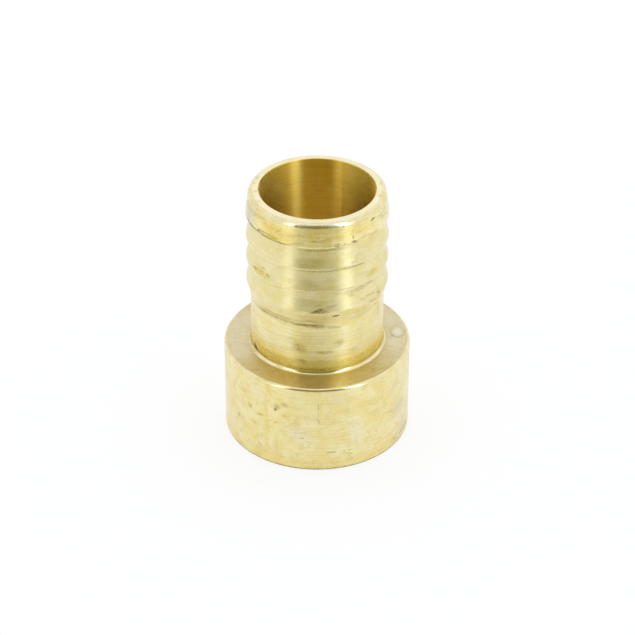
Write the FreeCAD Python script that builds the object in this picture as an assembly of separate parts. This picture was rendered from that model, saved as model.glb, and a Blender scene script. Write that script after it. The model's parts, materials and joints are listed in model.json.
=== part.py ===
import FreeCAD, Part
import math
import os

# Hose barb fitting, turned in one piece from a round brass bar. The upper end is a barbed
# stem that a hose is pushed over, and the lower end is a short round body with a threaded
# hole for a pipe. Lengths are in millimetres. The origin is the middle of the foot, and +Z
# runs up the axis to the hose end.

# Round body
BODY_DIAMETER = 38.0
BODY_HEIGHT = 20.0
SHOULDER_CHAMFER = 0.5
FOOT_CHAMFER = 0.3

# Plain neck between the shoulder and the lowest barb
NECK_DIAMETER = 26.9
NECK_LENGTH = 11.9
NECK_FILLET = 0.5

# Barbs, each with a long ramp towards the hose end, a narrow land and a short step under it
BARB_COUNT = 4
BARB_PITCH = 5.0
BARB_DEPTH = 1.15
BARB_STEP = 0.2
CREST_DIAMETER = 28.5
CREST_LAND = 0.35
RUNOUT_LENGTH = 3.1

# Tapered tip above the highest barb
TIP_LENGTH = 5.2
TIP_FACE_DIAMETER = 27.3
TIP_RADIUS = 1.0

# Flow bore through the stem
BORE_DIAMETER = 23.0
BORE_EDGE_BREAK = 0.2

# Threaded hole for a 1 inch parallel pipe thread, drawn at its minor diameter. Its mouth is
# countersunk a little past the thread's major diameter.
THREAD_MINOR_DIAMETER = 30.3
THREAD_MAJOR_DIAMETER = 33.25
MOUTH_CLEARANCE = 0.3
STOP_THICKNESS = 3.5


def corner(before, point, after, radius):
    """One corner of a section: a sharp point, or the ends and the middle of its rounding."""
    if radius == 0:
        return [point]
    towards_before = (before - point).normalize()
    towards_after = (after - point).normalize()
    inwards = (towards_before + towards_after).normalize()
    half_angle = towards_before.getAngle(towards_after) / 2
    reach = radius / math.tan(half_angle)
    depth = radius / math.sin(half_angle) - radius
    return [point + towards_before * reach, point + inwards * depth, point + towards_after * reach]


def turned(section):
    """Solid turned about Z from a closed section with rows of radius, height and rounding."""
    points = [FreeCAD.Vector(radius, 0, height) for radius, height, _ in section]
    corners = []
    for i, (_, _, rounding) in enumerate(section):
        after = points[(i + 1) % len(points)]
        corners.append(corner(points[i - 1], points[i], after, rounding))
    edges = []
    for here, following in zip(corners, corners[1:] + corners[:1]):
        if len(here) == 3:
            edges.append(Part.Arc(*here).toShape())
        edges.append(Part.LineSegment(here[-1], following[0]).toShape())
    face = Part.Face(Part.Wire(edges))
    return face.revolve(FreeCAD.Vector(0, 0, 0), FreeCAD.Vector(0, 0, 1), 360)


def body_outside():
    """Foot, side and shoulder of the body, upwards."""
    radius = BODY_DIAMETER / 2
    return [
        (radius - FOOT_CHAMFER, 0, 0),
        (radius, FOOT_CHAMFER, 0),
        (radius, BODY_HEIGHT - SHOULDER_CHAMFER, 0),
        (radius - SHOULDER_CHAMFER, BODY_HEIGHT, 0),
    ]


def barb_edges():
    """Heights of the barbs' lower edges, from the lowest barb up."""
    lowest = BODY_HEIGHT + NECK_LENGTH + RUNOUT_LENGTH
    return [lowest + barb * BARB_PITCH for barb in range(BARB_COUNT)]


def stem_outside():
    """Neck, barbs and tip, upwards."""
    crest = CREST_DIAMETER / 2
    root = crest - BARB_DEPTH
    neck = NECK_DIAMETER / 2
    edges = barb_edges()
    rows = [
        (neck, BODY_HEIGHT, NECK_FILLET),
        (neck, BODY_HEIGHT + NECK_LENGTH, 0),
    ]
    for lower_edge in edges:
        if lower_edge != edges[0]:
            rows.append((root, lower_edge - BARB_STEP, 0))
        rows.append((crest, lower_edge, 0))
        rows.append((crest, lower_edge + CREST_LAND, 0))
    rows.append((TIP_FACE_DIAMETER / 2, edges[-1] + TIP_LENGTH, TIP_RADIUS))
    return rows


def bore_inside():
    """Flow bore, downwards from its mouth in the tip to the stop for the pipe's end."""
    radius = BORE_DIAMETER / 2
    top = barb_edges()[-1] + TIP_LENGTH
    return [
        (radius + BORE_EDGE_BREAK, top, 0),
        (radius, top - BORE_EDGE_BREAK, 0),
        (radius, BODY_HEIGHT - STOP_THICKNESS, 0),
    ]


def thread_inside():
    """Wall and countersunk mouth of the threaded hole, downwards."""
    wall = THREAD_MINOR_DIAMETER / 2
    mouth = THREAD_MAJOR_DIAMETER / 2 + MOUTH_CLEARANCE
    return [
        (wall, BODY_HEIGHT - STOP_THICKNESS, 0),
        (wall, mouth - wall, 0),
        (mouth, 0, 0),
    ]


fitting = turned(body_outside() + stem_outside() + bore_inside() + thread_inside())
os.makedirs("parts", exist_ok=True)
fitting.exportStep("parts/barb_fitting.step")
print("barb_fitting: %.1f mm high, %.0f mm3" % (fitting.BoundBox.ZLength, fitting.Volume))
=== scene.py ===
import bpy
import json
import math
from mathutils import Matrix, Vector


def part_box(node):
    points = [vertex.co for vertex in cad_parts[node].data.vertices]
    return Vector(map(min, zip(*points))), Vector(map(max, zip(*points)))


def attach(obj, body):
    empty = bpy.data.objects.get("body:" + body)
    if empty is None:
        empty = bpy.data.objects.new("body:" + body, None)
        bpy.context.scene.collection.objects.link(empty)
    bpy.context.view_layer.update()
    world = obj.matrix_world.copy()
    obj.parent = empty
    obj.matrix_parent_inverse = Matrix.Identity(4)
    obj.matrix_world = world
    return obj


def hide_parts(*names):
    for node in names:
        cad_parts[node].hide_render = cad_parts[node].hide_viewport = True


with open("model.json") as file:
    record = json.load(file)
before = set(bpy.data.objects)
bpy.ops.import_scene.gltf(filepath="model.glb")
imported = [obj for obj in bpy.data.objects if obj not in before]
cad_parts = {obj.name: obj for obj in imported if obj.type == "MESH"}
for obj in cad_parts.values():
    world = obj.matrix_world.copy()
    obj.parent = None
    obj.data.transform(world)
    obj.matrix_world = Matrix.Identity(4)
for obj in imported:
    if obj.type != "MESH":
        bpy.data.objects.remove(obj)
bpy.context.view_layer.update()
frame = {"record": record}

# Hose barb fitting
# One piece of free-cutting brass, turned from a round bar: a body with a tapped hole for the
# pipe, a plain neck, four barbs that grip the hose, a tapered tip and a flow bore. The section
# is turned about the axis, the hole is tapped, and the knocks of the parts bin are pushed in.
MM = 0.001
mounts = {mount["name"]: mount["dims"] for mount in frame["record"]["mounts"]}
top_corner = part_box("barb_fitting")[1]

HEIGHT = top_corner.z / MM
BODY_RADIUS = top_corner.x / MM
BODY_HEIGHT = 20.0
SHOULDER_ROUNDING = 0.7
FOOT_ROUNDING = 0.3
NECK_RADIUS = 13.45
NECK_TOP = 31.9
NECK_FILLET = 0.7
BARB_COUNT = 4
BARB_PITCH = 5.0
LOWEST_BARB = 35.0
BARB_EDGES = [LOWEST_BARB + barb * BARB_PITCH for barb in range(BARB_COUNT)]
BARB_DEPTH = 1.15
BARB_STEP = 0.2
CREST_RADIUS = mounts["hose_barb"]["r_mm"]
CREST_LAND = 0.35
ROOT_RADIUS = CREST_RADIUS - BARB_DEPTH
TIP_FACE_RADIUS = 13.65
TIP_ROUNDING = 1.0
BORE_RADIUS = 11.5
BORE_EDGE_BREAK = 0.2
SOCKET_RADIUS = mounts["pipe_thread"]["r_mm"]
SOCKET_DEPTH = 16.5
MOUTH_RADIUS = 16.925

# Edges that are sharp on the drawing are a little soft on the part
SHARP_EDGE = 0.05
CREST_WEAR = 0.12
LAND_WEAR = 0.1
LARGE_ROUNDING = 0.4
LARGE_ROUNDING_STEPS = 8
SMALL_ROUNDING_STEPS = 3

# Steps round the axis, and rings along the section. What lies nearer the axis than the two
# limits is the bore, and the socket inside the body.
TURNING_STEPS = 256
RING_SPACING = 0.45
HIDDEN_RING_SPACING = 2.5
BORE_LIMIT = 12.0
BODY_LIMIT = 18.0
SMOOTH_ANGLE = 25
SAME_PLACE = 0.001 * MM

# 1 inch parallel pipe thread, 11 turns to the inch
THREAD_PITCH = 25.4 / 11
THREAD_ANGLE = 55
THREAD_MAJOR_RADIUS = 16.625
THREAD_ROOT = 0.385
THREAD_START = -2.0
THREAD_TURNS = 7
THREAD_STEPS = 144
TAP_OVERLAP = 0.2
CUT_MERGE = 0.01

# Knocks, as rows of azimuth from the front, height, radius, reach and depth. The last one is on
# the bore's edge, so it goes outwards.
DENTS = [
    (51.3, 53.6, 13.8, 0.9, 0.16),
    (14.7, 50.0, 14.25, 0.55, 0.22),
    (30.9, 50.0, 14.25, 0.5, 0.25),
    (-54, 50.0, 14.25, 1.2, 0.12),
    (-40, 50.0, 14.25, 0.9, 0.1),
    (-25.8, 14.15, 19.0, 0.7, 0.06),
    (154, 55.1, 11.7, 0.5, -0.12),
]


def select_where(mesh, test):
    """In edit mode, leaves selected the vertices whose place passes the test."""
    bpy.ops.object.mode_set(mode="OBJECT")
    for part in (mesh.polygons, mesh.edges, mesh.vertices):
        part.foreach_set("select", [False] * len(part))
    for vertex in mesh.vertices:
        vertex.select = test(vertex.co)
    bpy.ops.object.mode_set(mode="EDIT")


def closed_section(name, points):
    """New object in edit mode: a vertex extruded round a section of radius and height points."""
    bpy.ops.object.select_all(action="DESELECT")
    radius, height = points[0]
    bpy.ops.mesh.primitive_plane_add(size=MM, location=(radius * MM, 0, height * MM))
    piece = bpy.context.object
    piece.name = piece.data.name = name
    bpy.ops.object.transform_apply(location=True, rotation=False, scale=False)
    bpy.ops.object.mode_set(mode="EDIT")
    bpy.ops.mesh.select_mode(type="VERT")
    bpy.ops.mesh.merge(type="CENTER")
    for (radius, height), (next_radius, next_height) in zip(points, points[1:]):
        move = ((next_radius - radius) * MM, 0, (next_height - height) * MM)
        bpy.ops.mesh.extrude_region_move(TRANSFORM_OT_translate={"value": move})
    ends = [Vector((radius, 0, height)) * MM for radius, height in (points[0], points[-1])]
    select_where(piece.data, lambda place: min((place - end).length for end in ends) < SAME_PLACE)
    bpy.ops.mesh.edge_face_add()
    return piece


def wind(piece, steps, rise=0, turns=1):
    """Winds a section round Z, with a rise for each turn, and closes its ends."""
    bpy.ops.object.mode_set(mode="OBJECT")
    winding = piece.modifiers.new("winding", "SCREW")
    winding.axis = "Z"
    winding.angle = math.tau
    winding.steps = winding.render_steps = steps
    winding.screw_offset = rise * MM
    winding.iterations = turns
    bpy.ops.object.modifier_apply(modifier="winding")
    bpy.ops.object.mode_set(mode="EDIT")
    bpy.ops.mesh.select_all(action="SELECT")
    bpy.ops.mesh.remove_doubles(threshold=SAME_PLACE)
    bpy.ops.mesh.fill_holes(sides=4)
    bpy.ops.mesh.select_all(action="SELECT")
    bpy.ops.mesh.normals_make_consistent(inside=False)
    bpy.ops.object.mode_set(mode="OBJECT")


def fitting_rows():
    """Section of the fitting, as rows of radius, height and rounding."""
    rows = [
        (MOUTH_RADIUS, 0, SHARP_EDGE),
        (BODY_RADIUS, 0, FOOT_ROUNDING),
        (BODY_RADIUS, BODY_HEIGHT, SHOULDER_ROUNDING),
        (NECK_RADIUS, BODY_HEIGHT, NECK_FILLET),
        (NECK_RADIUS, NECK_TOP, SHARP_EDGE),
    ]
    for edge in BARB_EDGES:
        if edge != LOWEST_BARB:
            rows.append((ROOT_RADIUS, edge - BARB_STEP, SHARP_EDGE))
        rows.append((CREST_RADIUS, edge, CREST_WEAR))
        rows.append((CREST_RADIUS, edge + CREST_LAND, LAND_WEAR))
    return rows + [
        (TIP_FACE_RADIUS, HEIGHT, TIP_ROUNDING),
        (BORE_RADIUS, HEIGHT, BORE_EDGE_BREAK),
        (BORE_RADIUS, SOCKET_DEPTH, SHARP_EDGE),
        (SOCKET_RADIUS, SOCKET_DEPTH, SHARP_EDGE),
        (SOCKET_RADIUS, MOUTH_RADIUS - SOCKET_RADIUS, SHARP_EDGE),
    ]


def ring_spacing(start, end):
    """Fine rings where the surface shows and takes dents, and coarse ones inside."""
    in_bore = start.x < BORE_LIMIT * MM
    in_socket = max(start.z, end.z) < SOCKET_DEPTH * MM and start.x < BODY_LIMIT * MM
    if in_bore or in_socket:
        return HIDDEN_RING_SPACING * MM
    return RING_SPACING * MM


def add_rings(piece):
    """Divides the long edges of the section."""
    bpy.ops.mesh.select_mode(type="EDGE")
    bpy.ops.object.mode_set(mode="OBJECT")
    mesh = piece.data
    places = []
    for edge in mesh.edges:
        start, end = [mesh.vertices[index].co.copy() for index in edge.vertices]
        cuts = math.ceil((end - start).length / ring_spacing(start, end)) - 1
        if cuts > 0:
            places.append((start, end, cuts))
    for start, end, cuts in places:
        select_where(mesh, lambda place: min((place - start).length, (place - end).length) < SAME_PLACE)
        bpy.ops.mesh.subdivide(number_cuts=cuts)
    bpy.ops.mesh.select_mode(type="VERT")


def turn_fitting():
    """The fitting turned about Z from its section."""
    rows = fitting_rows()
    piece = closed_section("hose_barb_fitting", [(radius, height) for radius, height, _ in rows])
    for radius, height, rounding in rows:
        corner = Vector((radius, 0, height)) * MM
        select_where(piece.data, lambda place: (place - corner).length < SAME_PLACE)
        steps = LARGE_ROUNDING_STEPS if rounding > LARGE_ROUNDING else SMALL_ROUNDING_STEPS
        bpy.ops.mesh.bevel(offset=rounding * MM, segments=steps, affect="VERTICES", profile=0.5)
    add_rings(piece)
    wind(piece, TURNING_STEPS)
    return piece


def tap_hole(piece):
    """Cuts the thread with a ridge of the thread's form, wound round the axis as a tap sweeps it."""
    wall = SOCKET_RADIUS - TAP_OVERLAP
    root = THREAD_ROOT / 2
    mouth = root + (THREAD_MAJOR_RADIUS - wall) * math.tan(math.radians(THREAD_ANGLE / 2))
    tap = closed_section("tap", [
        (wall, THREAD_START - mouth),
        (THREAD_MAJOR_RADIUS, THREAD_START - root),
        (THREAD_MAJOR_RADIUS, THREAD_START + root),
        (wall, THREAD_START + mouth),
    ])
    wind(tap, THREAD_STEPS, THREAD_PITCH, THREAD_TURNS)
    bpy.ops.object.select_all(action="DESELECT")
    bpy.context.view_layer.objects.active = piece
    piece.select_set(True)
    cut = piece.modifiers.new("thread", "BOOLEAN")
    cut.operation = "DIFFERENCE"
    cut.solver = "EXACT"
    cut.object = tap
    bpy.ops.object.modifier_apply(modifier="thread")
    bpy.data.objects.remove(tap)
    bpy.ops.object.mode_set(mode="EDIT")
    bpy.ops.mesh.select_all(action="SELECT")
    bpy.ops.mesh.remove_doubles(threshold=CUT_MERGE * MM)
    bpy.ops.object.mode_set(mode="OBJECT")


def dent(piece, azimuth, height, radius, reach, depth):
    """Pushes the surface in around one place."""
    turn = math.radians(azimuth)
    outwards = Vector((math.sin(turn), -math.cos(turn), 0))
    place = (outwards * radius + Vector((0, 0, height))) * MM
    nearest = min((vertex.co - place).length for vertex in piece.data.vertices)
    select_where(piece.data, lambda corner: (corner - place).length <= nearest)
    bpy.ops.transform.translate(value=-outwards * depth * MM, use_proportional_edit=True,
                                proportional_edit_falloff="SMOOTH", proportional_size=reach * MM)
    bpy.ops.object.mode_set(mode="OBJECT")


fitting = turn_fitting()
tap_hole(fitting)
for knock in DENTS:
    dent(fitting, *knock)
bpy.ops.object.shade_smooth_by_angle(angle=math.radians(SMOOTH_ANGLE))

# Brass finishes
# Yellow brass, cut by one tool after another, so each zone has its own shine. The fine lines of
# the tool run round the axis and stretch every reflection across them. Handling has left golden
# rubbed places, pale haze, brown stains and dark scuffs. Some marks are painted light instead:
# painted shade in corners, under the barbs and where it stands, painted reflection round the feet
# of the neck and body, and painted sheen and highlights.

# Sizes of the patterns in mm. The real tool lines are about 0.1 mm apart and the grain is finer
# still, too fine to show, so both are drawn coarser.
TOOL_LINE = 0.25
TOOL_LINE_LENGTH = 8.0
GRAIN = 0.2
CLOUD = 4.0
SMEAR = 1.6
WAVER = 1.2
WAVER_REACH = 0.45

# Levels of the noise between which each pattern comes in
GRAIN_LIMITS = (0.32, 0.68)
CLOUD_LIMITS = (0.38, 0.62)
SMEAR_LIMITS = (0.46, 0.7)
LINE_LIMITS = (0.4, 0.75)
GRAIN_IN_LINES = 0.15
SMEAR_COLOUR = "#D0C8A8"
LINE_COLOUR = "#C0B484"
GROOVE_STRENGTH = 0.4
GROOVE_DEPTH = 0.05
QUARTER_TURN = 0.25

# Kinds of mark: how each blends with the brass, its colour, and how much the grain breaks it up
# Gilt and amber also carry painted reflection, haze painted sheen and highlight, and stain and scuff
# painted shade, where noted at their rows.
GILT_AND_REFLECTION = ("MULTIPLY", "#FFF6C4", 0.3)
AMBER_AND_REFLECTION = ("MULTIPLY", "#FBF3C8", 0.6)
HAZE_AND_SHEEN = ("MIX", "#F9F0C8", 0.5)
DUST = ("MIX", "#DCCFAA", 0.5)
STAIN_AND_SHADE = ("MULTIPLY", "#D8D3B2", 0.7)
SCUFF_AND_SHADE = ("MULTIPLY", "#A09E92", 0.5)
NICK = ("MULTIPLY", "#5A5240", 0.2)

# A mark fades between these shares of its half size and is a little duller than the brass. A long
# one, at least so many times its width, has blunt ends, and one of the last half length is a ring.
MARK_LIMITS = (0.1, 1.5)
MARK_DULLNESS = 0.15
LONG_MARK = 3
ALL_ROUND = 200


def linear(code):
    """Linear colour of an sRGB hex code."""
    channels = [int(code[start:start + 2], 16) / 255 for start in (1, 3, 5)]
    return [c / 12.92 if c <= 0.04045 else ((c + 0.055) / 1.055) ** 2.4 for c in channels] + [1.0]


def node(tree, kind, links=None, **settings):
    """Adds a node with its settings, and links or sets its inputs by name or number."""
    made = tree.nodes.new(kind)
    for name, value in settings.items():
        setattr(made, name, value)
    for name, value in (links or {}).items():
        if isinstance(value, bpy.types.NodeSocket):
            tree.links.new(value, made.inputs[name])
        else:
            made.inputs[name].default_value = value
    return made


def rolled_out(tree, turn_radius, flat_face):
    """Place in mm, its radius, and the surface laid flat: length round the axis, then height or radius."""
    place = node(tree, "ShaderNodeTexCoord").outputs["Object"]
    place = node(tree, "ShaderNodeVectorMath", {0: place, "Scale": 1 / MM}, operation="SCALE").outputs[0]
    axes = node(tree, "ShaderNodeSeparateXYZ", {0: place}).outputs
    across = node(tree, "ShaderNodeVectorMath", {0: place, 1: (1, 1, 0)}, operation="MULTIPLY").outputs[0]
    radius = node(tree, "ShaderNodeVectorMath", {0: across}, operation="LENGTH").outputs["Value"]
    front = node(tree, "ShaderNodeMath", {0: axes["Y"], 1: -1}, operation="MULTIPLY").outputs[0]
    azimuth = node(tree, "ShaderNodeMath", {0: axes["X"], 1: front}, operation="ARCTAN2").outputs[0]
    around = node(tree, "ShaderNodeMath", {0: azimuth, 1: turn_radius}, operation="MULTIPLY").outputs[0]
    up = radius if flat_face else axes["Z"]
    plane = node(tree, "ShaderNodeCombineXYZ", {0: around, 1: up}).outputs[0]
    waver = node(tree, "ShaderNodeTexNoise", {
        "Vector": place, "Scale": 1 / WAVER, "Detail": 5.0, "Roughness": 0.7}).outputs["Color"]
    waver = node(tree, "ShaderNodeVectorMath", {0: waver, 1: (0.5, 0.5, 0.5)},
                 operation="SUBTRACT").outputs[0]
    plane = node(tree, "ShaderNodeVectorMath", {0: waver, 1: (WAVER_REACH, WAVER_REACH, 0), 2: plane},
                 operation="MULTIPLY_ADD").outputs[0]
    return place, radius, plane


def mark_mask(tree, plane, turn_radius, grain, breaking, rows):
    """Where the marks of one kind are, broken up by the grain."""
    mask = 0.0
    for azimuth, height, half_length, half_width, tilt, strength in rows:
        local = node(tree, "ShaderNodeMapping", {
            "Vector": plane, "Location": (math.radians(azimuth) * turn_radius, height, 0),
            "Rotation": (0, 0, math.radians(tilt)), "Scale": (half_length, half_width, 1)},
            vector_type="TEXTURE").outputs[0]
        if half_length > LONG_MARK * half_width:
            local = node(tree, "ShaderNodeVectorMath", {0: local, 1: local},
                         operation="MULTIPLY").outputs[0]
        distance = node(tree, "ShaderNodeVectorMath", {0: local}, operation="LENGTH").outputs["Value"]
        spot = node(tree, "ShaderNodeMapRange", {
            0: distance, 1: MARK_LIMITS[0], 2: MARK_LIMITS[1], 3: strength, 4: 0},
            interpolation_type="SMOOTHSTEP").outputs[0]
        mask = node(tree, "ShaderNodeMath", {0: spot, 1: mask}, operation="MAXIMUM").outputs[0]
    broken = node(tree, "ShaderNodeMapRange", {
        0: grain, 1: 0, 2: 1, 3: 1 + breaking / 2, 4: 1 - breaking}).outputs[0]
    return node(tree, "ShaderNodeMath", {0: mask, 1: broken}, operation="MULTIPLY",
                use_clamp=True).outputs[0]


def brass(name, turn_radius, pale, golden, roughness, anisotropy, drag, lines, mottling, marks,
          flat_face=False):
    """One finish of the brass, with its tool lines, tarnish and marks.

    It clouds between pale and golden. A drag under 1 draws its dirt out round the axis, and lines
    and mottling are how much the tool lines and the smears show.
    """
    material = bpy.data.materials.new(name)
    material.use_nodes = True
    tree = material.node_tree
    shader = tree.nodes["Principled BSDF"]
    place, radius, plane = rolled_out(tree, turn_radius, flat_face)
    along = node(tree, "ShaderNodeVectorMath", {
        0: place, 1: (1 / TOOL_LINE_LENGTH, 1 / TOOL_LINE_LENGTH, 1 / TOOL_LINE)},
        operation="MULTIPLY").outputs[0]
    turns = node(tree, "ShaderNodeMath", {0: radius, 1: 1 / TOOL_LINE}, operation="MULTIPLY").outputs[0]
    tool_lines = node(tree, "ShaderNodeTexNoise", {
        "Vector": along, "W": turns, "Scale": 1.0, "Detail": 1.0}, noise_dimensions="4D").outputs[0]
    clouds = node(tree, "ShaderNodeTexNoise", {
        "Vector": place, "Scale": 1 / CLOUD, "Detail": 6.0, "Roughness": 0.72}).outputs[0]
    level = node(tree, "ShaderNodeVectorMath", {0: place, 1: (drag, drag, 1.0)},
                 operation="MULTIPLY").outputs[0]
    smears = node(tree, "ShaderNodeTexNoise", {
        "Vector": level, "Scale": 1 / SMEAR, "Detail": 5.0, "Roughness": 0.72,
        "Distortion": 0.5}).outputs[0]
    grain = node(tree, "ShaderNodeTexNoise", {
        "Vector": level, "Scale": 1 / GRAIN, "Detail": 2.0}).outputs[0]
    grain = node(tree, "ShaderNodeMapRange", {
        0: grain, 1: GRAIN_LIMITS[0], 2: GRAIN_LIMITS[1], 3: 0, 4: 1}).outputs[0]

    share = node(tree, "ShaderNodeMapRange", {
        0: clouds, 1: CLOUD_LIMITS[0], 2: CLOUD_LIMITS[1], 3: 0, 4: 1}).outputs[0]
    colour = node(tree, "ShaderNodeMix", {0: share, 6: linear(pale), 7: linear(golden)},
                  data_type="RGBA").outputs[2]
    dull = 0.0
    for (blending, mark_colour, breaking), rows in marks:
        mask = mark_mask(tree, plane, turn_radius, grain, breaking, rows)
        colour = node(tree, "ShaderNodeMix", {0: mask, 6: colour, 7: linear(mark_colour)},
                      data_type="RGBA", blend_type=blending).outputs[2]
        dull = node(tree, "ShaderNodeMath", {0: dull, 1: mask}, operation="MAXIMUM").outputs[0]
    smeared = node(tree, "ShaderNodeMapRange", {
        0: smears, 1: SMEAR_LIMITS[0], 2: SMEAR_LIMITS[1], 3: 0, 4: mottling},
        interpolation_type="SMOOTHSTEP").outputs[0]
    colour = node(tree, "ShaderNodeMix", {0: smeared, 6: colour, 7: linear(SMEAR_COLOUR)},
                  data_type="RGBA", blend_type="MULTIPLY").outputs[2]
    speckled = node(tree, "ShaderNodeMath", {0: grain, 1: GRAIN_IN_LINES, 2: tool_lines},
                    operation="MULTIPLY_ADD").outputs[0]
    fine = node(tree, "ShaderNodeMapRange", {
        0: speckled, 1: LINE_LIMITS[0], 2: LINE_LIMITS[1], 3: lines, 4: 0}).outputs[0]
    colour = node(tree, "ShaderNodeMix", {0: fine, 6: colour, 7: linear(LINE_COLOUR)},
                  data_type="RGBA", blend_type="MULTIPLY").outputs[2]
    rough = node(tree, "ShaderNodeMapRange", {
        0: dull, 1: 0, 2: 1, 3: roughness, 4: roughness + MARK_DULLNESS}).outputs[0]
    grooves = node(tree, "ShaderNodeBump", {
        "Height": tool_lines, "Strength": GROOVE_STRENGTH, "Distance": GROOVE_DEPTH * MM}).outputs[0]
    tangent = node(tree, "ShaderNodeTangent", direction_type="RADIAL", axis="Z").outputs[0]
    tree.links.new(colour, shader.inputs["Base Color"])
    tree.links.new(rough, shader.inputs["Roughness"])
    tree.links.new(grooves, shader.inputs["Normal"])
    tree.links.new(tangent, shader.inputs["Tangent"])
    shader.inputs["Metallic"].default_value = 1.0
    shader.inputs["Anisotropic"].default_value = anisotropy
    shader.inputs["Anisotropic Rotation"].default_value = QUARTER_TURN
    return material


def finish_faces(piece, material, test):
    """Gives a finish to the faces whose middle radius, middle height and upward normal pass."""
    piece.data.materials.append(material)
    piece.active_material_index = len(piece.data.materials) - 1
    for face in piece.data.polygons:
        face.select = test(face.center.xy.length / MM, face.center.z / MM, face.normal.z)
    bpy.ops.object.mode_set(mode="EDIT")
    bpy.ops.object.material_slot_assign()
    bpy.ops.object.mode_set(mode="OBJECT")


# Where one finish ends and the next begins, in mm and in the upward part of a face's normal
STEM_LIMIT = 15.0
NECK_FINISH_TOP = NECK_TOP + 0.7
EDGE_REACH = 0.1
END_DEPTH = 0.05
RUBBED_REACH = 1.2
LEVEL = 0.97
NEARLY_LEVEL = 0.9
LEANING = 0.15
UPRIGHT = 0.12

bpy.ops.object.mode_set(mode="EDIT")
bpy.ops.mesh.select_mode(type="FACE")
bpy.ops.object.mode_set(mode="OBJECT")

# Marks are rows of azimuth from the front, height (or radius on a flat face), half length, half
# width, tilt and strength. Most were read off the photo by eye, as strokes in pixels, and another
# script turned those into places on the part. Some were then changed or added one by one.

# Satin brass of the barbs, formed by one broad tool: silky, with soft upright bands of light
BARB_MARKS = [
    (AMBER_AND_REFLECTION, [
        (-5.4, 46.05, 2.5, 0.5, 1, 0.4),
        (15.8, 46.6, 1.7, 0.35, -88, 0.7),
        (-53, 40.9, 2.8, 1.5, -1, 0.9),
        (-26, 41.9, 1.3, 0.65, -7, 0.6),
        (-17.2, 41.15, 0.85, 0.5, 5, 0.45),
        (12.2, 42.5, 1.2, 0.3, -12, 0.4),
        (11.8, 40.75, 0.95, 0.3, -10, 0.45),
        (51.8, 41.3, 1.8, 0.7, 4, 0.95),
        (-19.9, 35.4, 1.2, 0.45, -4, 0.45),
        (32.8, 34.25, 3.3, 0.75, -8, 0.85),
    ]),
    (STAIN_AND_SHADE, [
        # Stains and streaks on the ramps
        (-6.2, 46.55, 3.3, 1.05, 1, 0.45),
        (11.5, 48.35, 1.5, 0.1, -1, 0.35),
        (30.4, 45.8, 0.8, 0.3, -3, 0.6),
        (34.6, 47, 0.8, 0.2, 27, 0.35),
        (45.7, 44.5, 1, 0.45, 48, 0.35),
        (-49.9, 39.45, 2.1, 0.95, 24, 0.35),
        (-7, 41.6, 2, 1.05, -12, 0.5),
        (18.7, 38.7, 1.2, 0.16, -4, 0.45),
        (-31.4, 39.6, 2.2, 0.45, 14, 0.35),
        (-6.4, 37.15, 3.8, 0.8, -2, 0.35),
        (48.9, 36.3, 1.4, 0.2, -5, 0.6),
        (51.6, 34.75, 1.4, 0.4, -12, 0.7),
        (39.3, 36.3, 0.85, 0.2, 2, 0.4),
        (59.9, 32.7, 1.3, 0.35, -20, 0.5),
        # Painted shade in the band under the lowest barb, above the neck
        (-45.5, 32.5, 2.3, 0.5, 2, 0.6),
        (-36.7, 32.5, 2.3, 0.5, 0, 0.6),
        (-27.7, 32.5, 2.1, 0.5, 0, 0.6),
        (-16, 32.5, 2.3, 0.4, 0, 0.45),
        (-6, 32.8, 1.9, 0.45, -4, 0.7),
        (2.5, 32.4, 1.7, 0.45, -6, 0.45),
        # Spots and streaks at the two sides
        (34, 38.4, 3.2, 0.3, 0, 0.5),
        (29.3, 37.9, 0.85, 0.35, -10, 0.7),
        (60, 35.2, 0.9, 1.6, 0, 0.5),
        (-60.4, 41, 0.5, 0.22, -20, 0.5),
        (-55.2, 40.25, 0.45, 0.2, 10, 0.6),
        (-50.4, 41.4, 0.6, 0.22, -15, 0.55),
        (-45.8, 40.35, 0.35, 0.24, 0, 0.7),
        (29.4, 45.7, 0.35, 0.22, 10, 0.6),
        (32.7, 46.45, 0.3, 0.2, 10, 0.5),
        # Brown front of the lowest ramp
        (0, 33.6, 4.1, 0.9, 0, 0.35),
        # Painted shade under the crests at the front
        (4, 49.1, 5, 0.3, 0, 0.7),
        (4, 44.2, 5, 0.2, 0, 0.55),
    ]),
    (SCUFF_AND_SHADE, [
        # At the two sides
        (32.2, 44.15, 2.9, 0.2, -2, 0.5),
        (-60.7, 41.05, 0.85, 0.2, 4, 0.55),
        (-50.1, 42.2, 0.55, 0.16, 0, 0.45),
        (-43.7, 41.3, 0.6, 0.26, -18, 0.65),
        (51.2, 38.7, 0.95, 0.2, -6, 0.5),
        # Scuff across the lowest barb
        (0.5, 35.6, 1.3, 0.35, 17, 0.9),
        (8.8, 36.2, 1.7, 0.18, 12, 0.35),
        (0.9, 35.15, 2.2, 0.14, 2, 0.7),
        (5.5, 35.45, 0.7, 0.16, 20, 0.55),
        (1.1, 36.7, 0.55, 0.12, 5, 0.35),
        # Right of the front
        (38, 38.8, 3.9, 0.12, 0, 0.45),
        (58.5, 35.7, 0.35, 0.3, 0, 0.5),
    ]),
    (NICK, [
        (15.2, 34.05, 0.7, 0.2, 6, 0.95),
        (-1, 35.35, 0.9, 0.14, 6, 0.4),
    ]),
]
barbs = brass("satin brass", CREST_RADIUS, pale="#F6E8A6", golden="#F1DE8F", roughness=0.36,
              anisotropy=0.85, drag=0.7, lines=0.1, mottling=0.2, marks=BARB_MARKS)
finish_faces(fitting, barbs, lambda radius, height, up: True)

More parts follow.
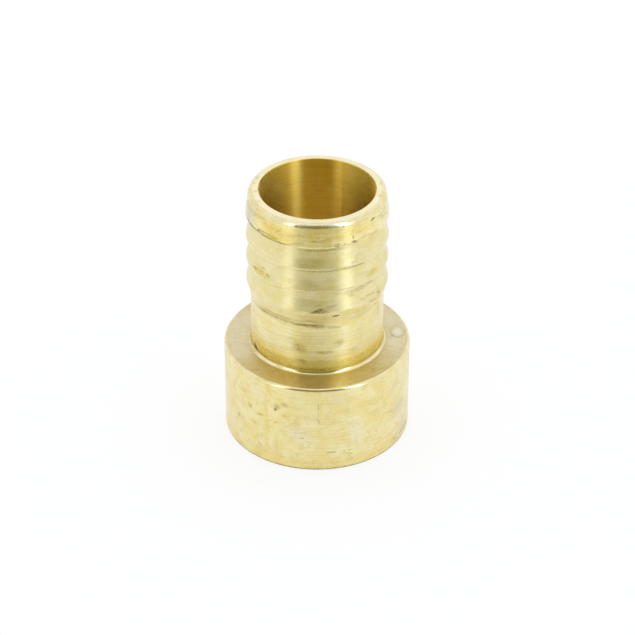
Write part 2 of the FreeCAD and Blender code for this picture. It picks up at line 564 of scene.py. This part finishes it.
# Rubbed edges of the three upper barbs, polished by all that slid over them: thin bright lines
CREST_MARKS = [
    (SCUFF_AND_SHADE, [
        # Dark lines along the crest edges, painted shade under their bright lines; two short strong ones
        # at the front right lie on knocks
        (-66, 50.05, 4, 0.18, 0, 0.6),
        (-44, 50.05, 3.6, 0.2, 0, 0.65),
        (-30, 50.05, 1.8, 0.18, 0, 0.6),
        (15, 50.1, 0.7, 0.2, 0, 0.9),
        (31, 50.1, 0.8, 0.24, 0, 1),
        (38, 45.05, 3, 0.14, 0, 0.35),
        (38, 40.05, 3.6, 0.14, 0, 0.4),
        (4, 45.1, 5, 0.3, 0, 0.5),
        (3, 40.1, 5, 0.3, 0, 0.45),
    ]),
]
crests = brass("rubbed barb edges", CREST_RADIUS, pale="#F6E9AC", golden="#F1DF95", roughness=0.22,
               anisotropy=0.6, drag=0.5, lines=0.1, mottling=0.3, marks=CREST_MARKS)
finish_faces(fitting, crests, lambda radius, height, up: (
    radius > CREST_RADIUS - EDGE_REACH and -NEARLY_LEVEL < up < UPRIGHT
    and BARB_EDGES[1] - 1 < height < BARB_EDGES[-1] + 1))

# Turned brass of the neck, cut with a coarser feed: rings that show and a wide soft shine. Round its
# foot, gold is painted reflection of the shoulder, and dark brown is painted shade in the corner
NECK_MARKS = [
    (GILT_AND_REFLECTION, [
        # Painted reflection of the golden shoulder, round the foot of the neck
        (0, 20.3, ALL_ROUND, 3.4, 0, 1),
    ]),
    (AMBER_AND_REFLECTION, [
        (-29.2, 30.95, 0.85, 0.35, 7, 0.45),
        (-14, 26.5, 4, 4.5, 0, 0.35),
        (32, 32, 3, 0.8, 4, 0.5),
        # Painted reflection of the shoulder: golden round the foot of the neck
        (66, 21.8, 5, 2.4, 0, 0.5),
        (-60, 21.8, 5, 2.2, 0, 0.5),
        (33, 21.6, 4, 1.6, 0, 0.5),
        (-33, 21.6, 4, 1.6, 0, 0.5),
        (-46, 23.4, 5, 1.5, 0, 0.55),
        (46, 23.2, 5, 1.3, 0, 0.35),
    ]),
    (HAZE_AND_SHEEN, [
        (-21.1, 25.95, 1.6, 0.4, -49, 0.35),
        (18.7, 26, 1.8, 0.24, -16, 0.35),
        (43, 27.35, 3, 0.4, -2, 0.25),
        (34.2, 24.95, 2, 0.35, 3, 0.3),
    ]),
    (DUST, [
        (68, 29.5, 3, 2.6, 0, 0.3),
        (-74, 28, 2.4, 5, 0, 0.3),
    ]),
    (STAIN_AND_SHADE, [
        # Painted shade in the corner at the foot of the neck
        (0, 20.7, ALL_ROUND, 0.7, 0, 0.8),
        # Stains and scratches on the neck
        (64.5, 31.85, 2.3, 0.4, -88, 0.45),
        (13.6, 31.05, 1.8, 0.28, -9, 0.6),
        (-21.6, 27.85, 1, 0.2, -10, 0.4),
        (-8.2, 29.05, 4.5, 0.1, 2, 0.25),
        (-1.4, 28.3, 3.1, 0.1, 0, 0.3),
        (-15.1, 26.05, 1.7, 1.1, -30, 0.9),
        (19.4, 27.05, 1.3, 0.95, 26, 0.7),
        (6.6, 25.1, 1.8, 0.45, -2, 0.6),
        (31.9, 24.65, 1.3, 0.5, 0, 0.55),
        (-13.5, 22.8, 0.9, 0.75, 7, 0.7),
        (3.2, 23.3, 0.6, 0.12, -6, 0.4),
        (-60.5, 22.85, 0.7, 0.35, -31, 0.4),
        # Painted shade along the edge of the dark arc
        (-47.3, 31.9, 3.4, 0.6, 1, 0.35),
        (-30, 31.9, 3.6, 0.7, 0, 0.5),
        (-12, 31.9, 3.4, 0.8, -2, 0.6),
        (-2.5, 31.6, 2.5, 0.7, -4, 0.8),
        (5.5, 31.6, 1.5, 0.45, -8, 0.2),
        # Painted shade at the foot of the neck
        (-45, 21.4, 7, 1.7, 0, 0.4),
        (45, 21.4, 7, 1.7, 0, 0.4),
        (0, 20.75, 3.4, 0.4, 0, 0.9),
    ]),
    (SCUFF_AND_SHADE, [
        # Dark arc, painted shade in the corner under the lowest barb
        (-60.8, 31.95, 2.6, 0.65, -1, 0.25),
        (-47.3, 32.1, 2.5, 0.5, 2, 0.8),
        (-34.4, 32.15, 2.5, 0.5, 0, 0.8),
        (-22.7, 32.15, 2.3, 0.65, -1, 0.6),
        (-12.3, 32.05, 2.2, 0.65, -3, 0.7),
        (-2.6, 31.95, 1.7, 0.65, -5, 0.75),
        # Right of the front, and at the foot on the left
        (19.4, 27.1, 0.45, 0.2, 28, 0.35),
        (-58, 20.5, 3.4, 0.3, 0, 0.8),
    ]),
    (NICK, [
        (-67, 20.85, 1.2, 0.55, -20, 1),
    ]),
]
neck = brass("turned brass", NECK_RADIUS, pale="#FFF2B1", golden="#FBE897", roughness=0.41,
             anisotropy=0.78, drag=0.35, lines=0.24, mottling=0.15, marks=NECK_MARKS)
finish_faces(fitting, neck, lambda radius, height, up: (
    radius < STEM_LIMIT and BODY_HEIGHT < height < NECK_FINISH_TOP))

# Burnished brass of the tip, rubbed by hoses: the brightest and most golden zone
TIP_MARKS = [
    (GILT_AND_REFLECTION, [
        (-32, 52.4, 5.8, 2.6, 0, 0.9),
        (8, 52.4, 10.7, 2.6, 0, 0.45),
    ]),
    (AMBER_AND_REFLECTION, [
        (-41, 50.8, 3.3, 0.5, 4, 1),
        (-7.4, 53, 1.8, 0.8, -5, 0.8),
        (-43, 52.3, 2, 0.9, 0, 0.6),
        (-28.8, 51.1, 1.5, 0.6, 0, 0.7),
        (28.8, 53.1, 2.6, 1, 0, 0.6),
        (15, 52.2, 2.3, 0.6, 0, 0.5),
        (-17.3, 53.45, 1, 0.35, -16, 0.45),
        (45, 52.4, 2.1, 1, 0, 0.5),
    ]),
    (DUST, [
        (-72, 52.6, 2.9, 2.4, 0, 0.8),
        (74, 52.8, 2.9, 2.2, 0, 0.15),
        (-45, 54.3, 3, 0.4, 0, 0.25),
    ]),
    (STAIN_AND_SHADE, [
        (-48.3, 52.9, 1.2, 0.12, 7, 0.6),
        (-2.2, 51.55, 1.3, 0.22, -3, 0.6),
        (0.6, 52.45, 0.45, 0.16, -8, 0.5),
        (-1.8, 50.85, 2.9, 0.2, -2, 0.35),
    ]),
    (SCUFF_AND_SHADE, [
        # Scratches left of the front
        (-47.4, 51.05, 1.5, 0.2, -2, 0.5),
        (-38.6, 50.85, 1.8, 0.2, -3, 0.5),
        # Painted shade: dark line along the tip's lower edge, left of the front
        (-72, 50.5, 2.7, 0.2, 0, 0.6),
        (-60, 50.4, 2.3, 0.22, 0, 0.85),
        (-49, 50.35, 2.3, 0.24, 0, 0.8),
        (-39, 50.3, 2.1, 0.22, 0, 0.75),
        (-30, 50.25, 1.5, 0.18, 0, 0.7),
        # Scratches by the tip's lower edge, right of the front
        (29.5, 51.55, 0.45, 0.12, -85, 0.9),
        (15.6, 50.8, 0.85, 0.08, -7, 0.8),
        (21.9, 50.6, 0.3, 0.12, -3, 0.8),
        (23, 50.35, 2.9, 0.12, 0, 0.5),
    ]),
    (NICK, [
        (51.4, 53.4, 0.75, 0.2, 17, 0.8),
        (30.7, 50.6, 0.7, 0.24, -4, 0.75),
        (15.3, 50.4, 0.6, 0.16, -6, 0.55),
        (-53, 50.75, 0.5, 0.16, 0, 0.6),
    ]),
]
tip = brass("burnished brass", TIP_FACE_RADIUS, pale="#FFF2B2", golden="#F8E596", roughness=0.3,
            anisotropy=0.8, drag=0.35, lines=0.2, mottling=0.7, marks=TIP_MARKS)
finish_faces(fitting, tip, lambda radius, height, up: height > BARB_EDGES[-1] + EDGE_REACH)

# Bar brass of the body, only skimmed: an even shine with clouds of tarnish, spots and knocks
BODY_MARKS = [
    (GILT_AND_REFLECTION, [
        # Painted reflection of the shaded floor: a golden band round the foot
        (0, 0, ALL_ROUND, 3, 0, 0.4),
    ]),
    (AMBER_AND_REFLECTION, [
        (-37, 11.2, 0.95, 0.24, 7, 0.7),
        (-59.5, 15.6, 2.7, 0.45, 65, 0.65),
        (-30.6, 18.2, 1.6, 0.7, -63, 0.5),
        (2.6, 15.95, 1.7, 0.2, 88, 0.55),
        (37.6, 14.45, 3.2, 1.1, -15, 0.5),
        (34.1, 16, 1.3, 0.45, -25, 0.4),
        (-32.3, 8.5, 7, 0.6, 90, 0.5),
    ]),
    (HAZE_AND_SHEEN, [
        (50.6, 6.95, 1.3, 0.2, 1, 0.65),
        (46.7, 10.6, 1.6, 0.22, 12, 0.5),
        (-10.7, 8.4, 3.9, 1.75, -31, 0.45),
        (25, 9, 4.1, 1.6, -84, 0.45),
        (-39.4, 16.5, 2.5, 1.65, -38, 0.4),
        (14.1, 16.95, 3, 1.1, -31, 0.3),
        # Painted sheen: lighter down both sides of the body
        (-77, 9, 2.2, 7, 0, 0.5),
        (79, 9, 1.6, 7, 0, 0.35),
    ]),
    (DUST, [
        (61, 9, 2.6, 2.2, 30, 0.55),
        (66, 3.5, 2, 2.4, 0, 0.4),
        (55, 15, 2, 0.9, 40, 0.35),
    ]),
    (STAIN_AND_SHADE, [
        # Spots and streaks left of the front, the first by a knock
        (-24.8, 14.6, 0.75, 0.65, 14, 0.8),
        (-19.8, 15.45, 1.1, 0.6, -7, 0.75),
        (-45, 12.15, 0.75, 0.7, -10, 0.85),
        (-56.8, 7.75, 0.6, 0.55, -20, 0.9),
        (-36.8, 11.25, 0.75, 0.28, 5, 0.9),
        (-19.8, 12.75, 0.45, 0.16, -8, 0.8),
        (-17.2, 12.85, 0.25, 0.16, 21, 0.5),
        (-25.8, 10.65, 0.4, 0.3, 21, 0.7),
        (-26.5, 18.1, 0.75, 0.28, -22, 0.45),
        (-52.7, 14.95, 1.9, 0.4, 0, 0.35),
        (-36.8, 8.9, 2.8, 0.16, 3, 0.25),
        (-36.6, 3.65, 1.2, 0.2, -30, 0.4),
        (-25.4, 5.2, 2.1, 0.28, -87, 0.25),
        (-9.2, 7.85, 0.55, 0.16, 10, 0.8),
        (-9.5, 9.25, 1.1, 0.12, 14, 0.35),
        (-4.9, 6.95, 1.2, 0.12, -23, 0.35),
        (-15.9, 10.95, 1.7, 0.16, 39, 0.35),
        # Crack-like line near the front
        (0.8, 15.25, 2.1, 0.08, -90, 0.35),
        (0.8, 15.65, 0.75, 0.2, -89, 0.8),
        (1.1, 12.3, 0.8, 0.16, -68, 0.7),
        # Spots and scratches right of the front
        (7.9, 14.4, 0.35, 0.24, -6, 0.4),
        (10.5, 13.8, 0.25, 0.2, -7, 0.4),
        (17.3, 13.25, 0.4, 0.16, -8, 0.4),
        (34.5, 6.4, 1, 0.22, -73, 0.25),
        (50.8, 9.65, 1.4, 0.2, -14, 0.35),
        # Strokes low down, right of the front
        (17.8, 3.95, 0.85, 0.16, -55, 0.45),
        (20.7, 4.35, 0.6, 0.14, -8, 0.4),
        (20.1, 3.45, 1, 0.3, -6, 0.45),
        (9, 4.35, 1.1, 0.24, -1, 0.75),
        (57, 1.6, 1.6, 1.4, -30, 0.5),
        # Thin line at the front
        (-3, 8.5, 2.4, 0.16, 0, 0.4),
    ]),
    (SCUFF_AND_SHADE, [
        # Low down, right of the front
        (69.9, 1.85, 2.3, 0.4, 9, 0.6),
        (9, 4.35, 0.8, 0.14, -1, 0.25),
        # Painted shade where it stands on the floor
        (0, 0.2, ALL_ROUND, 0.24, 0, 0.9),
    ]),
    (NICK, [
        (-25.9, 13.85, 0.5, 0.3, 47, 0.75),
    ]),
]
body = brass("bar brass", BODY_RADIUS, pale="#F8EAA5", golden="#F4DF8D", roughness=0.36,
             anisotropy=0.6, drag=0.9, lines=0.15, mottling=0.3, marks=BODY_MARKS)
finish_faces(fitting, body, lambda radius, height, up: (
    radius > BODY_LIMIT and height < BODY_HEIGHT - EDGE_REACH))

# Dull faced brass of the shoulder, cut flat and never rubbed since: a browner, duller gold, partly
# painted shade: its darker base stands in for the darker neck that it reflects
SHOULDER_MIDDLE = (BODY_RADIUS + NECK_RADIUS) / 2
SHOULDER_MARKS = [
    (HAZE_AND_SHEEN, [
        (-66.8, 14.9, 1.8, 0.14, -22, 0.55),
        (95.8, 16.5, 1.7, 1.2, 0, 1),
        # Painted sheen: lighter towards both sides
        (-97, 16.4, 12, 2.6, 0, 0.4),
        (99, 16.4, 12, 2.6, 0, 0.4),
    ]),
    (STAIN_AND_SHADE, [
        # Short scratches
        (-45.6, 17.2, 1.1, 0.18, -54, 0.65),
        (-45.3, 17.45, 0.85, 0.24, -45, 0.5),
        (-5.2, 17.85, 0.7, 0.2, -19, 0.55),
        (43.7, 16.15, 0.5, 0.22, 17, 0.5),
        (48.4, 17.4, 0.6, 0.16, 14, 0.55),
        (52.3, 16.35, 0.3, 0.16, 11, 0.4),
        (75.6, 15.55, 0.35, 0.12, 19, 0.55),
        (76, 17.7, 0.5, 0.12, 20, 0.5),
        # Ring left by something round that stood here
        (102.9, 16.5, 0.7, 0.18, 90, 0.35),
        (100.8, 17.5, 0.7, 0.18, 145, 0.35),
        (95.8, 17.9, 0.7, 0.18, 0, 0.5),
        (90.8, 17.5, 0.7, 0.18, 35, 0.8),
        (88.7, 16.5, 0.7, 0.26, 90, 1),
        (90.8, 15.5, 0.7, 0.26, 145, 1),
        (95.8, 15.1, 0.7, 0.18, 180, 0.5),
        (100.8, 15.5, 0.7, 0.18, 35, 0.35),
    ]),
]
shoulder = brass("dull faced brass", SHOULDER_MIDDLE, pale="#DFCC89", golden="#D5BD70", roughness=0.4,
                 anisotropy=0.75, drag=0.9, lines=0.08, mottling=0.2, marks=SHOULDER_MARKS,
                 flat_face=True)
finish_faces(fitting, shoulder, lambda radius, height, up: (
    abs(height - BODY_HEIGHT) < EDGE_REACH and up > NEARLY_LEVEL))

# Rubbed brass of the roundings at the tip, the shoulder and the neck's foot: sharp highlights
ROUNDING_MARKS = [
    (HAZE_AND_SHEEN, [
        (11, 54.6, 2.6, 0.6, 0, 0.6),
        (-22, 54.6, 1, 0.6, 0, 0.5),
        (-8, 54.6, 2, 0.5, 0, 0.45),
    ]),
    (STAIN_AND_SHADE, [
        # Painted shade, dimming the bright lines of the neck's fillet at its sides and front, and of the
        # shoulder's edge
        (-86, 20.4, 6.4, 0.45, 0, 1.1),
        (88, 20.4, 4.5, 0.45, 0, 0.4),
        (-33, 20.1, 1, 0.4, 0, 0.7),
        (0, 20.35, 1.8, 0.35, 0, 0.35),
        (2, 19.4, 2.9, 0.3, 0, 0.5),
    ]),
    (NICK, [
        (-17.5, 54.5, 0.2, 0.2, -2, 0.9),
        (21.6, 54.35, 0.2, 0.16, 0, 0.8),
        (51.4, 53.6, 0.6, 0.2, 17, 0.8),
    ]),
]
rubbed = brass("rubbed brass", TIP_FACE_RADIUS, pale="#F8E8AC", golden="#F2DC90", roughness=0.2,
               anisotropy=0.3, drag=0.5, lines=0.15, mottling=0.3, marks=ROUNDING_MARKS)
finish_faces(fitting, rubbed, lambda radius, height, up: (
    radius > BORE_LIMIT and LEANING < up < LEVEL
    and (height > HEIGHT - RUBBED_REACH or abs(height - BODY_HEIGHT) < RUBBED_REACH)))

# Faced brass of the two ends, cut clean: pale, even and bright
FACE_MIDDLE = (TIP_FACE_RADIUS + BORE_RADIUS) / 2
FACE_MARKS = [
    (STAIN_AND_SHADE, [
        (-109.1, 12.7, 1.1, 0.5, 0, 0.7),
        (-98.8, 12.7, 0.6, 0.4, 0, 0.7),
        (-84.7, 12.15, 0.55, 0.4, 0, 0.6),
        (78.1, 12.7, 0.7, 0.6, 0, 0.7),
        (98.5, 12.7, 0.8, 0.5, 0, 0.5),
        (-66.4, 12.65, 0.6, 0.6, 0, 0.4),
    ]),
]
faced = brass("faced brass", FACE_MIDDLE, pale="#FFF2BB", golden="#FDEDAA", roughness=0.34,
              anisotropy=0.6, drag=0.6, lines=0.1, mottling=0.2, marks=FACE_MARKS, flat_face=True)
finish_faces(fitting, faced, lambda radius, height, up: (
    up > LEVEL and height > HEIGHT - TIP_ROUNDING or up < -LEVEL and height < END_DEPTH))

# Bored brass of the bore and the thread, which nothing rubs, with reflections drawn out down the
# wall. Its deep gold base is painted shade, a darker copy of the brass for light bounced in the bore
BORE_MARKS = [
    (HAZE_AND_SHEEN, [
        # Painted highlight on the bright streak down the far wall
        (-159.5, 40, 1.1, 30, 0, 0.1),
    ]),
    (SCUFF_AND_SHADE, [
        # Painted shade: the two sides of the bore darker
        (-106, 40, 6.5, 30, 0, 0.85),
        (110, 40, 5.6, 30, 0, 0.7),
    ]),
]
bored = brass("bored brass", BORE_RADIUS, pale="#FFDA5C", golden="#FBD24A", roughness=0.44,
              anisotropy=1.0, drag=0.3, lines=0.2, mottling=0.2, marks=BORE_MARKS)
finish_faces(fitting, bored, lambda radius, height, up: (
    radius < BORE_RADIUS + BORE_EDGE_BREAK and up < LEVEL
    or radius < MOUTH_RADIUS and END_DEPTH < height < SOCKET_DEPTH + EDGE_REACH))

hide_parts("barb_fitting")
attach(fitting, "root")

# Floor
# White paper sheet of the photo studio, which the fitting stands on. It shows plain white with
# the fitting's soft shadow, and darkens in the brass's reflections towards the dark room.
FLOOR_FRONT = -450
FLOOR_BACK = 1500
FLOOR_HALF_WIDTH = 1500
SHADE_START = -80
SHADE_END = -400
GLOW_SHARE = 0.72
GLOW_LEVEL = 1.07
PAPER = "#F8FAFF"
SHADED_PAPER = "#A8A070"
WHITE = "#FFFFFF"

# Linear level of white cloth and paper as the brass reflects them, cooler than the eye sees them
COOL = (1.0, 1.05, 1.36, 1.0)


def white_paper():
    """Matt white paper, which shows as the white background and keeps the fitting's shadow."""
    material = bpy.data.materials.new("white paper")
    material.use_nodes = True
    tree = material.node_tree
    tree.nodes.clear()
    rays = node(tree, "ShaderNodeLightPath").outputs
    seen = node(tree, "ShaderNodeMath", {0: rays["Is Camera Ray"], 1: rays["Is Glossy Ray"]},
                operation="MAXIMUM").outputs[0]
    share = node(tree, "ShaderNodeMath", {0: seen, 1: GLOW_SHARE}, operation="MULTIPLY").outputs[0]
    paper = node(tree, "ShaderNodeBsdfDiffuse", {"Color": linear(PAPER)}).outputs[0]
    place = node(tree, "ShaderNodeTexCoord").outputs["Object"]
    away = node(tree, "ShaderNodeSeparateXYZ", {0: place}).outputs["Y"]
    shade = node(tree, "ShaderNodeMapRange", {
        0: away, 1: SHADE_START * MM, 2: SHADE_END * MM, 3: 0, 4: 1}).outputs[0]
    shaded = node(tree, "ShaderNodeMix", {0: shade, 6: COOL, 7: linear(SHADED_PAPER)},
                  data_type="RGBA").outputs[2]
    tint = node(tree, "ShaderNodeMix", {0: rays["Is Glossy Ray"], 6: linear(WHITE), 7: shaded},
                data_type="RGBA").outputs[2]
    glow = node(tree, "ShaderNodeEmission", {"Color": tint, "Strength": GLOW_LEVEL}).outputs[0]
    mixed = node(tree, "ShaderNodeMixShader", {0: share, 1: paper, 2: glow}).outputs[0]
    node(tree, "ShaderNodeOutputMaterial", {"Surface": mixed})
    return material


bpy.ops.object.select_all(action="DESELECT")
bpy.ops.mesh.primitive_plane_add(size=1)
floor = bpy.context.object
floor.name = "floor"
for corner in floor.data.vertices:
    corner.co.x = math.copysign(FLOOR_HALF_WIDTH * MM, corner.co.x)
    corner.co.y = (FLOOR_FRONT if corner.co.y < 0 else FLOOR_BACK) * MM
floor.data.materials.append(white_paper())

# Light tent
# White cloth all round, which lights the fitting from every side. The side that the camera looks
# in through is open to the dark room, and that opening is the dark band in the brass.
OPENING_HALF_ANGLE = 34
OPENING_TOP = 57
OPENING_BLUR = 4
TENT_LIGHT = "#FCFDFF"
ROOM_LIGHT = "#86824A"


def tent_light():
    """What surrounds the fitting: plain white, and in reflections the tent with its opening."""
    world = bpy.data.worlds.new("light tent")
    world.use_nodes = True
    tree = world.node_tree
    tree.nodes.clear()
    direction = node(tree, "ShaderNodeTexCoord").outputs["Generated"]
    axes = node(tree, "ShaderNodeSeparateXYZ", {0: direction}).outputs
    front = node(tree, "ShaderNodeMath", {0: axes["Y"], 1: -1}, operation="MULTIPLY").outputs[0]
    azimuth = node(tree, "ShaderNodeMath", {0: axes["X"], 1: front}, operation="ARCTAN2").outputs[0]
    aside = node(tree, "ShaderNodeMath", {0: azimuth}, operation="ABSOLUTE").outputs[0]
    up = node(tree, "ShaderNodeMath", {0: axes["Z"]}, operation="ARCSINE").outputs[0]
    inside = 1.0
    for angle, limit in ((aside, OPENING_HALF_ANGLE), (up, OPENING_TOP)):
        edge = node(tree, "ShaderNodeMapRange", {
            0: angle, 1: math.radians(limit - OPENING_BLUR), 2: math.radians(limit + OPENING_BLUR),
            3: 1, 4: 0}, interpolation_type="SMOOTHSTEP").outputs[0]
        inside = node(tree, "ShaderNodeMath", {0: edge, 1: inside}, operation="MULTIPLY").outputs[0]
    around = node(tree, "ShaderNodeMix", {0: inside, 6: linear(TENT_LIGHT), 7: linear(ROOM_LIGHT)},
                  data_type="RGBA").outputs[2]
    rays = node(tree, "ShaderNodeLightPath").outputs
    cooled = node(tree, "ShaderNodeMix", {0: rays["Is Glossy Ray"], 6: around, 7: COOL},
                  data_type="RGBA", blend_type="MULTIPLY").outputs[2]
    colour = node(tree, "ShaderNodeMix", {0: rays["Is Camera Ray"], 6: cooled, 7: linear(WHITE)},
                  data_type="RGBA").outputs[2]
    sky = node(tree, "ShaderNodeBackground", {"Color": colour, "Strength": 1.0}).outputs[0]
    node(tree, "ShaderNodeOutputWorld", {"Surface": sky})
    return world


bpy.context.scene.world = tent_light()

# Softboxes
# Upright lamps with cloth fronts at the two sides of the opening, and a short hot one above the
# right one. The brass shows them as its brightest bands.
SOFTBOX_DISTANCE = 700
SOFTBOX_WIDTH = 160

# Rows of azimuth, height of the middle, height of the lamp, level and colour
SOFTBOXES = [
    (47, 450, 1100, 2.6, "#B4C6FF"),
    (-45, 450, 1100, 1.15, "#D8E0FF"),
    (47, 850, 400, 9.5, "#CCE4FF"),
]

for azimuth, middle, height, level, colour in SOFTBOXES:
    angle = math.radians(azimuth)
    lamp = bpy.data.lights.new("softbox", "AREA")
    lamp.shape = "RECTANGLE"
    lamp.size = SOFTBOX_WIDTH * MM
    lamp.size_y = height * MM
    lamp.color = linear(colour)[:3]
    lamp.energy = level * math.pi * lamp.size * lamp.size_y
    softbox = bpy.data.objects.new("softbox", lamp)
    softbox.location = Vector((
        SOFTBOX_DISTANCE * math.sin(angle),
        -SOFTBOX_DISTANCE * math.cos(angle),
        middle,
    )) * MM
    softbox.rotation_euler = (math.radians(90), 0, angle)
    softbox.visible_diffuse = False
    bpy.context.scene.collection.objects.link(softbox)

# Camera
# It looks down on the fitting from the front, with a long lens, and leans by a hair.
CAMERA_DISTANCE = 489.1
CAMERA_DOWN = 33.98
CAMERA_ROLL = 0.13
CAMERA_SIDE = 0.078
AIM_HEIGHT = 24.56
SENSOR_WIDTH = 36.0
FOCAL_LENGTH = 136.06
NEAREST_SEEN = 10

lens = bpy.data.cameras.new("camera")
lens.sensor_width = SENSOR_WIDTH
lens.lens = FOCAL_LENGTH
lens.clip_start = NEAREST_SEEN * MM
camera = bpy.data.objects.new("camera", lens)
down = math.radians(CAMERA_DOWN)
camera.location = Vector((
    CAMERA_SIDE,
    -CAMERA_DISTANCE * math.cos(down),
    AIM_HEIGHT + CAMERA_DISTANCE * math.sin(down),
)) * MM
camera.rotation_euler = (math.pi / 2 - down, 0, 0)
camera.rotation_euler.rotate_axis("Z", math.radians(CAMERA_ROLL))
bpy.context.scene.collection.objects.link(camera)
bpy.context.scene.camera = camera
bpy.context.scene.view_settings.view_transform = "Standard"
